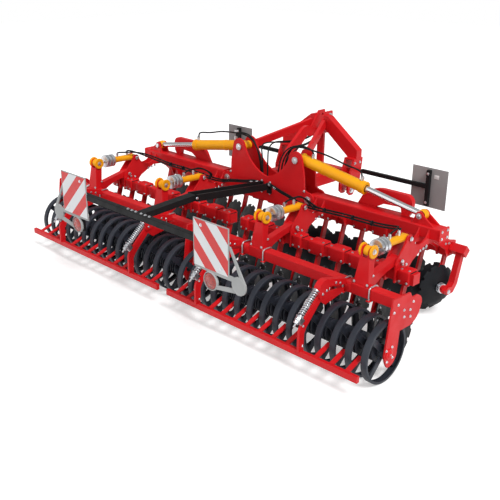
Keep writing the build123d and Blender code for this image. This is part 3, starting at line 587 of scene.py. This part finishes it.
# Bolts of the wings: side plates, end cap and bow
def make_wing_bolts():
    seats = []
    plate_rows = ((250, 800), (300, 808), (350, 818), (700, 745), (760, 735), (-20, 745), (40, 730))
    for x in STATIONS:
        for y, z in plate_rows:
            seats.append(seat((x + 59, y, z), RIGHT))
            seats.append(seat((x - 59, y, z), LEFT))
    seats += [seat((2137, y, z), RIGHT) for z in (895, 963) for y in (415, 505)]
    seats += [seat((x, 584, 960), AHEAD) for x in (1130, 1640)]
    keep_pair(spread_out(bolt(10, 8), seats), "wing_bolts", zinc, "wing")


# Bolts of the roller frames: end plates, scraper posts and brackets
def make_roller_frame_bolts():
    plate = ((-550, 616), (-450, 526), (-459, 590), (-542, 552), (-693, 639), (-640, 690), (-420, 650))
    bearing = ((-760, 320), (-742, 214), (-668, 230), (-682, 330))
    seats = [seat((END_PLATE_X, y, z), RIGHT) for y, z in plate + bearing]
    for x in POST_PLACES:
        for y, z in ((-640, 700), (-700, 720), (-820, 684), (-872, 668)):
            seats.append(seat((x + 30, y, z), RIGHT))
            seats.append(seat((x - 30, y, z), LEFT))
        seats += [seat((x + 12, -1088, z), RIGHT) for z in (445, 260)]
    for x in STATIONS:
        for side in (-1, 1):
            seats.append(seat((x + side * 68, -549, 712), (0, -1, 0.16)))
            seats.append(seat((x + side * 46, -440, 760), (side, 0, 0)))
    keep_pair(spread_out(bolt(9, 8), seats), "roller_frame_bolts", zinc, "roller_frame")


# Bolts of the frame: centre plates, hitch brackets, light bar and boards
def make_frame_bolts():
    seats = []
    for face, out in ((PLATE_REAR_Y, BACK), (PLATE_FRONT_Y, AHEAD)):
        for x, z in ((60, 880), (60, 1000), (520, 830), (420, 830), (300, 830), (545, 1010)):
            seats.append(seat((x, face, z), out))
    seats += [seat((HITCH_OUTER_X, y, z), RIGHT) for y, z in ((1201, 1150), (1290, 1150), (1240, 940))]
    seats.append(seat((70, -690, 1060), RIGHT))
    seats += [seat((x, -1352, 1050), UP) for x in (40, 100, 160)]
    seats += [seat((1400, 1315, z), BACK) for z in (870, 1180)]
    seats += [seat((x, -1385, z), BACK) for x, z in ((900, 1170), (1140, 840))]
    keep_both(spread_out(bolt(11, 9), seats), "frame_bolts", zinc, "frame")


# Link pins of the hitch with their heads, and the dark knob on the bow
def make_pin_heads():
    collar = turned(24, [(30, 0), (30, 4), (22, 6), (22, 16), (16, 19), (6, 20)])
    seats = [
        seat((65, 1335, 1590), RIGHT),
        seat((HITCH_OUTER_X, LOWER_LINK_Y, LOWER_LINK_Z), RIGHT),
        seat((413, LOWER_LINK_Y, LOWER_LINK_Z), LEFT),
    ]
    keep_both(spread_out(collar, seats), "link_pin_heads", zinc, "frame")
    pin = turned(24, [(18, -46), (18, 46)])
    pin_seat = seat((HITCH_X, LOWER_LINK_Y, LOWER_LINK_Z), RIGHT)
    keep_both(spread_out(pin, [pin_seat]), "link_pins", zinc, "frame")
    knob = turned(24, [(30, 0), (34, 4), (34, 10), (26, 14), (14, 16)])
    keep_pair(spread_out(knob, [seat((1190, 534, 1140), BACK)]), "bow_knob", disc_steel, "wing")


# Caps over the roller's bearings outside the end plates, each with its grease nipple
def make_bearings():
    place = seat((END_PLATE_X, ROLLER_Y, RING_R), RIGHT)
    cap = turned(36, [(50, 0), (50, 4), (46, 8), (30, 10), (28, 14), (20, 16), (8, 16)])
    keep_pair(spread_out(cap, [place]), "bearing_cap", red_paint, "roller_frame")
    nipple = turned(10, [(5, 12), (6, 18), (4, 23), (3, 25)])
    keep_pair(spread_out(nipple, [place]), "grease_nipple", zinc, "roller_frame")


# Coil springs on their spindles behind the scraper posts
def make_springs():
    along = Vector((0, -250, -220)).normalized()
    coil_r, wire_r, pitch = 24, 5.2, 20.5
    deselect()
    bpy.ops.mesh.primitive_circle_add(
        vertices=10, radius=wire_r * MM, fill_type="NOTHING", location=(coil_r * MM, 0, 0),
        rotation=(math.pi / 2, 0, 0)
    )
    coil = bpy.context.object
    bpy.ops.object.transform_apply(location=True, rotation=True, scale=True)
    modify(
        coil, "SCREW", axis="Z", angle=2 * math.pi, screw_offset=pitch * MM, iterations=12,
        steps=20, render_steps=20
    )
    choose(coil)
    bpy.ops.object.mode_set(mode="EDIT")
    bpy.ops.mesh.select_all(action="SELECT")
    bpy.ops.mesh.fill_holes(sides=0)
    bpy.ops.object.mode_set(mode="OBJECT")
    outward(coil)
    spindle = turned(16, [(8, -16), (9, -14), (9, 355), (7, 360)])
    cup = turned(24, [(22, -8), (33, -6), (33, -1), (20, 0)])
    low_cup = turned(24, [(20, 254), (34, 255), (34, 262), (24, 264)])
    nut = turned(6, [(27, 266), (30, 268), (30, 294), (27, 296)])
    lock = turned(6, [(22, 300), (25, 302), (25, 322), (22, 324)])
    springs = []
    tops = [(x, -925, 706) for x in POST_PLACES]
    for piece in (coil, spindle, cup, low_cup, nut, lock):
        springs += copies(piece, [seat(place, along) for place in tops])
    keep_pair(join(springs), "post_springs", zinc, "roller_frame", 50)
    # Clamp from the spindle to the post
    arm = block((-22, -12, -30), (22, 60, 30), 5, 3)
    cut(arm, block((-13, 12, -40), (13, 75, 40), 2))
    aim = [seat(Vector(place) + 281 * along, along, 180) for place in tops]
    keep_pair(spread_out(arm, aim), "spring_clamps", zinc, "roller_frame")


# Yellow eyes of the rods, with the bosses beside the depth rods' eyes and the necks behind them
def make_rod_eyes():
    rod_eyes = [seat((x, DEPTH_EYE_Y, DEPTH_EYE_Z), RIGHT) for x in STATIONS]
    eye = turned(36, [(40, -34), (48, -33), (49.5, -29), (49.5, 29), (48, 33), (40, 34)])
    eye = spread_out(eye, [seat((ROD_PIN_X, BEAM_Y, ROD_PIN_Z), BACK)])
    keep_pair(eye, "fold_rod_eye", yellow_paint, "fold_rod")
    eye = turned(32, [(34, -25), (42, -24), (44, -21), (44, 21), (42, 24), (34, 25)])
    keep_pair(spread_out(eye, rod_eyes), "depth_rod_eyes", yellow_paint, "depth_rods")
    boss = turned(36, [(40, 0), (56, 0), (60, 3), (60, 13), (56, 16), (34, 16), (32, 12), (18, 12)])
    spots = [
        seat((x + side * 46.5, DEPTH_EYE_Y, DEPTH_EYE_Z), (side, 0, 0)) for x in STATIONS for side in (-1, 1)
    ]
    keep_pair(spread_out(boss, spots), "depth_pin_bosses", yellow_paint, "roller_frame")
    neck = turned(24, [(20, -78), (26, -74), (30, -40), (34, -30)])
    necks = [seat((x, DEPTH_EYE_Y, DEPTH_EYE_Z), DEPTH_LINE) for x in STATIONS]
    keep_pair(spread_out(neck, necks), "depth_rod_necks", yellow_paint, "depth_rods")


# Depth cylinders: the spacer clips that set the working depth, glands and ports
def make_depth_cylinders():
    barrels = [seat((x, DEPTH_PIN_Y, DEPTH_PIN_Z), DEPTH_LINE) for x in STATIONS]
    clip = turned(28, [(68, -17), (72, -14), (72, 14), (68, 17)])
    cut(clip, turned(24, [(19, -30), (19, 30)]))
    cut(clip, block((-17, -90, -30), (17, 0, 30), 2))
    spots = [
        seat(Vector((x, DEPTH_PIN_Y, DEPTH_PIN_Z)) + (322 + 45 * i) * DEPTH_LINE, DEPTH_LINE, 30 + 28 * i)
        for x in STATIONS for i in range(3)
    ]
    keep_pair(spread_out(clip, spots), "depth_clips", zinc, "depth_rods")
    gland = turned(32, [(30, 255), (38, 257), (38, 272), (34, 276), (24, 278)])
    cut(gland, turned(24, [(18, 200), (18, 300)]))
    keep_pair(spread_out(gland, barrels), "depth_glands", yellow_paint, "depth_barrels")
    port = turned(12, [(12, 30), (12, 48), (15, 50), (15, 60), (10, 62)])
    spots = [seat((x, y, z), UP) for y, z in zip(PORTS_Y, (968.5, 974)) for x in STATIONS]
    keep_pair(spread_out(port, spots), "depth_ports", zinc, "depth_barrels")


# Folding cylinders: rings of the barrel, ports and wiper
def make_fold_cylinders():
    pin = Vector((BARREL_PIN_X, BEAM_Y, BARREL_PIN_Z))
    fold_barrel = seat(pin, FOLD_LINE)
    band = turned(36, [(58, 300), (61, 302), (61, 330), (58, 332)])
    lip = turned(36, [(60, 826), (66, 829), (66, 842), (62, 846), (48, 848)])
    cut(lip, turned(28, [(33, 800), (33, 900)]))
    rings = join(copies(lip, [fold_barrel]) + copies(band, [fold_barrel]))
    keep_pair(rings, "fold_barrel_rings", yellow_paint, "fold_barrel")
    elbow = turned(12, [(15, 50), (15, 74), (19, 77), (19, 92), (14, 95), (14, 104)])
    spots = [seat(pin + reach * FOLD_LINE, (0.12, 0, 1)) for reach in (150, 786)]
    keep_pair(spread_out(elbow, spots), "fold_barrel_ports", zinc, "fold_barrel")
    wiper = turned(28, [(33, 826), (37, 830), (37, 848), (33, 851)])
    cut(wiper, turned(28, [(31.5, 800), (31.5, 900)]))
    keep_pair(spread_out(wiper, [fold_barrel]), "fold_wiper", disc_steel, "fold_barrel")


# U-bolts round the roller beam and their clamp plates
def make_u_bolts():
    ahead, behind, low, high = -446, -564, 568, 699
    bars, plates, nuts = [], [], []
    for x in STATIONS:
        for place in (x - 172, x + 104):
            bars.append(tube([
                (place, ahead, low), (place, ahead, 640), (place, ahead, high), (place, -505, high + 2),
                (place, behind, high), (place, behind, 640), (place, behind, low)
            ], 8))
            nuts += [seat((place, y, 580), DOWN) for y in (ahead, behind)]
            plates.append(block((place - 20, -580, 578), (place + 20, -430, 588), 3))
        plates.append(block((x - 158, -562, 604), (x - 96, -553, 682), 3))
    keep_pair(join(bars), "u_bolts", zinc, "roller_frame", 60)
    keep_pair(join(plates), "u_bolt_plates", red_paint, "roller_frame")
    keep_pair(spread_out(bolt(12, 10, False), nuts), "u_bolt_nuts", zinc, "roller_frame")


# Hoses that cross a joint
HOSE_SMOOTH = 60


def bent_pair(hose, name):
    # A hose and its mirror image, each from the frame across a joint
    for piece, side, sign in zip((hose, mirrored(hose)), SIDES, (1, -1)):
        keep(piece, f"{name}_{side}", rubber_black, None, HOSE_SMOOTH)
        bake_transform(piece)


# Hoses of the folding cylinders, over the barrel's pin and down between the centre plates
def make_fold_hoses():
    end_hose = [
        (1184, 460, 1262), (1190, 460, 1300), (1160, 458, 1338), (975, 452, 1360), (782, 446, 1412),
        (559, 440, 1432), (400, 436, 1440), (270, 436, 1400), (170, 440, 1260), (140, 446, 1110), (135, 452, 984)
    ]
    near_hose = [
        (566, 464, 1350), (570, 464, 1402), (520, 458, 1436), (400, 452, 1452), (290, 450, 1418),
        (205, 452, 1280), (170, 458, 1120), (165, 462, 984)
    ]
    for number, line in enumerate((end_hose, near_hose)):
        bent_pair(tube(line, 8.5), f"fold_hose_{number}")


# Hoses of the depth cylinders, through the hollows of the side plates
def make_depth_hoses():
    for number, (lift, port_y) in enumerate(zip((0, 19), PORTS_Y)):
        line = [
            (40, 330, 992), (120, 318, 985 + lift), (260, 300, 950 + lift), (424, 270, 936 + lift),
            (567, 252, 902 + lift), (742, 248 + lift, 893 + lift), (950, 250 + lift, 902 + lift),
            (1159, 250 + lift, 912 + lift), (1343, 250 + lift, 912 + lift), (1560, 246 + lift, 915 + lift),
            (1760, 215 + lift, 950 + lift), (1880, 110, 1010 + lift), (1958, port_y + 45, 1052),
            (1967, port_y, 1056), (1967, port_y, 1030)
        ]
        bent_pair(tube(line, 9), f"depth_hose_{number}")
        branch = tube([
            (742, port_y, 1030), (742, port_y, 1062), (735, 60, 1070), (722, 190, 1000),
            (735, 244 + lift, 920 + lift), (800, 250 + lift, 898 + lift)
        ], 9)
        keep_pair(branch, f"depth_branch_{number}", rubber_black, "wing", HOSE_SMOOTH)


# Feed hoses from the headstock back to the centre tube
def make_feed_hoses():
    feed = []
    for shift, rise in ((-46, 0), (-24, 26), (24, 10), (46, 34)):
        feed.append(tube([
            (shift, 1235, 1395 + rise), (shift * 1.2, 1130, 1350 + rise), (shift * 2.4, 960, 1320 + rise),
            (shift * 4, 780, 1330 + rise), (shift * 5.2, 620, 1350 + rise), (shift * 5, 520, 1330),
            (shift * 3.4, 470, 1200), (shift * 3, 462, 985)
        ], 8))
    keep(join(feed), "feed_hoses", rubber_black, "frame", HOSE_SMOOTH)


# Ties round the hoses, and their steel fittings and ends
def make_hose_fittings():
    tie = turned(20, [(25, -5), (26, -4), (26, 4), (25, 5)])
    ties = [seat(place, RIGHT) for place in ((900, 258, 912), (1250, 260, 922), (1480, 258, 924))]
    keep_pair(spread_out(tie, ties), "hose_ties", disc_steel, "wing")
    fitting = turned(12, [(12, 0), (12, 14), (16, 15), (16, 28), (12, 30), (12, 46), (10, 48)])
    seats = [
        seat((60, 327, 990), (1, -0.15, -0.05)), seat((150, 318, 978), (1, -0.1, -0.2)),
        seat((140, 446, 1060), DOWN), seat((165, 458, 1060), DOWN)
    ]
    keep_both(spread_out(fitting, seats), "hose_fittings", zinc, "frame")
    end = turned(12, [(11, 0), (11, 10), (15, 12), (15, 24), (11, 26)])
    ends = [seat((x, y, 1054), DOWN) for x in STATIONS for y in PORTS_Y]
    keep_pair(spread_out(end, ends), "hose_ends", zinc, "depth_barrels")


# Lamps and the blank discs beside them, on the light bar
def make_rear_lamps():
    glass = turned(40, [
        (60, -2), (77, 0), (77, 7), (72, 13), (56, 17), (52, 15), (48, 18), (30, 21), (27, 19), (12, 22)
    ])
    glass = spread_out(glass, [seat((LAMP_X, -1372, LAMP_Z), BACK)])
    keep_both(glass, "lamp_lenses", lamp_red, "frame")
    rim = turned(40, [(87, 0), (88, 4), (84, 10), (78, 12), (77, 4), (77, 0)])
    keep_both(spread_out(rim, [seat((LAMP_X, -1378, LAMP_Z), BACK)]), "lamp_rims", casting, "frame")
    blank = turned(40, [(81, 0), (81, 3), (78, 5), (66, 5), (64, 3), (10, 3)])
    blank = spread_out(blank, [seat((BLANK_DISC_X, -1381, BLANK_DISC_Z), BACK)])
    keep_both(blank, "blank_discs", casting, "frame")


# Frames of the rear boards, boxes behind the lamps, and the blank stickers on the front boards
def make_board_trim():
    low, high = REAR_BOARD_X - REAR_BOARD_HALF, REAR_BOARD_X + REAR_BOARD_HALF
    strips = [
        block((low - 5, -1387, 1214), (high + 5, -1376, 1222), 2),
        block((high - 2, -1387, 794), (high + 6, -1376, 1222), 2),
        block((low - 6, -1387, 794), (low + 2, -1376, 1222), 2),
    ]
    keep_both(join(strips), "board_frames", casting, "frame")
    box = block((925, -1372, 620), (1095, -1330, 760), 18, 3)
    keep_both(box, "lamp_boxes", black_paint, "frame")
    sticker = block((1452, 1353.5, 1130), (1508, 1356, 1172), 0.5)
    keep_both(sticker, "front_board_blanks", white_film, "frame")


make_discs()
make_roller()
make_clamps()
make_pin_caps()
make_wing_bolts()
make_roller_frame_bolts()
make_frame_bolts()
make_pin_heads()
make_bearings()
make_springs()
make_rod_eyes()
make_depth_cylinders()
make_fold_cylinders()
make_u_bolts()
make_fold_hoses()
make_depth_hoses()
make_feed_hoses()
make_hose_fittings()
make_rear_lamps()
make_board_trim()


# Floor, world and lamps
STUDIO_LEVEL = 0.42


def make_stage():
    deselect()
    bpy.ops.mesh.primitive_plane_add(size=60, location=(0, 0, 0))
    floor = bpy.context.object
    floor.name = "floor"
    material, tree, shader = new_material("floor_white")
    shader.inputs["Base Color"].default_value = (0.8, 0.8, 0.8, 1)
    shader.inputs["Roughness"].default_value = 0.9
    shader.inputs["Specular IOR Level"].default_value = 0.0
    rays = tree.nodes.new("ShaderNodeLightPath")
    seen = tree.nodes.new("ShaderNodeMath")
    seen.operation = "MAXIMUM"
    tree.links.new(rays.outputs["Is Camera Ray"], seen.inputs[0])
    tree.links.new(rays.outputs["Is Glossy Ray"], seen.inputs[1])
    level = tree.nodes.new("ShaderNodeMath")
    level.operation = "MULTIPLY"
    level.inputs[1].default_value = STUDIO_LEVEL
    tree.links.new(seen.outputs[0], level.inputs[0])
    shader.inputs["Emission Color"].default_value = (1, 1, 1, 1)
    tree.links.new(level.outputs[0], shader.inputs["Emission Strength"])
    floor.data.materials.append(material)

    world = bpy.data.worlds.new("studio")
    bpy.context.scene.world = world
    world.use_nodes = True
    tree = world.node_tree
    background = tree.nodes["Background"]
    rays = tree.nodes.new("ShaderNodeLightPath")
    seen = tree.nodes.new("ShaderNodeMath")
    seen.operation = "MAXIMUM"
    tree.links.new(rays.outputs["Is Camera Ray"], seen.inputs[0])
    tree.links.new(rays.outputs["Is Transmission Ray"], seen.inputs[1])
    level = tree.nodes.new("ShaderNodeMapRange")
    level.inputs["To Min"].default_value = STUDIO_LEVEL
    level.inputs["To Max"].default_value = 1.0
    tree.links.new(seen.outputs[0], level.inputs["Value"])
    background.inputs["Color"].default_value = (1, 1, 1, 1)
    tree.links.new(level.outputs["Result"], background.inputs["Strength"])

    for name, energy, angle, turn in (
        ("key", 2.3, 18, (math.radians(38), math.radians(8), math.radians(62))),
        ("fill", 0.6, 60, (math.radians(62), 0, math.radians(-20))),
    ):
        lamp = bpy.data.lights.new(name, "SUN")
        lamp.energy = energy
        lamp.angle = math.radians(angle)
        light = bpy.data.objects.new(name, lamp)
        light.rotation_euler = Euler(turn)
        bpy.context.scene.collection.objects.link(light)


make_stage()
bpy.context.scene.view_settings.view_transform = "Standard"
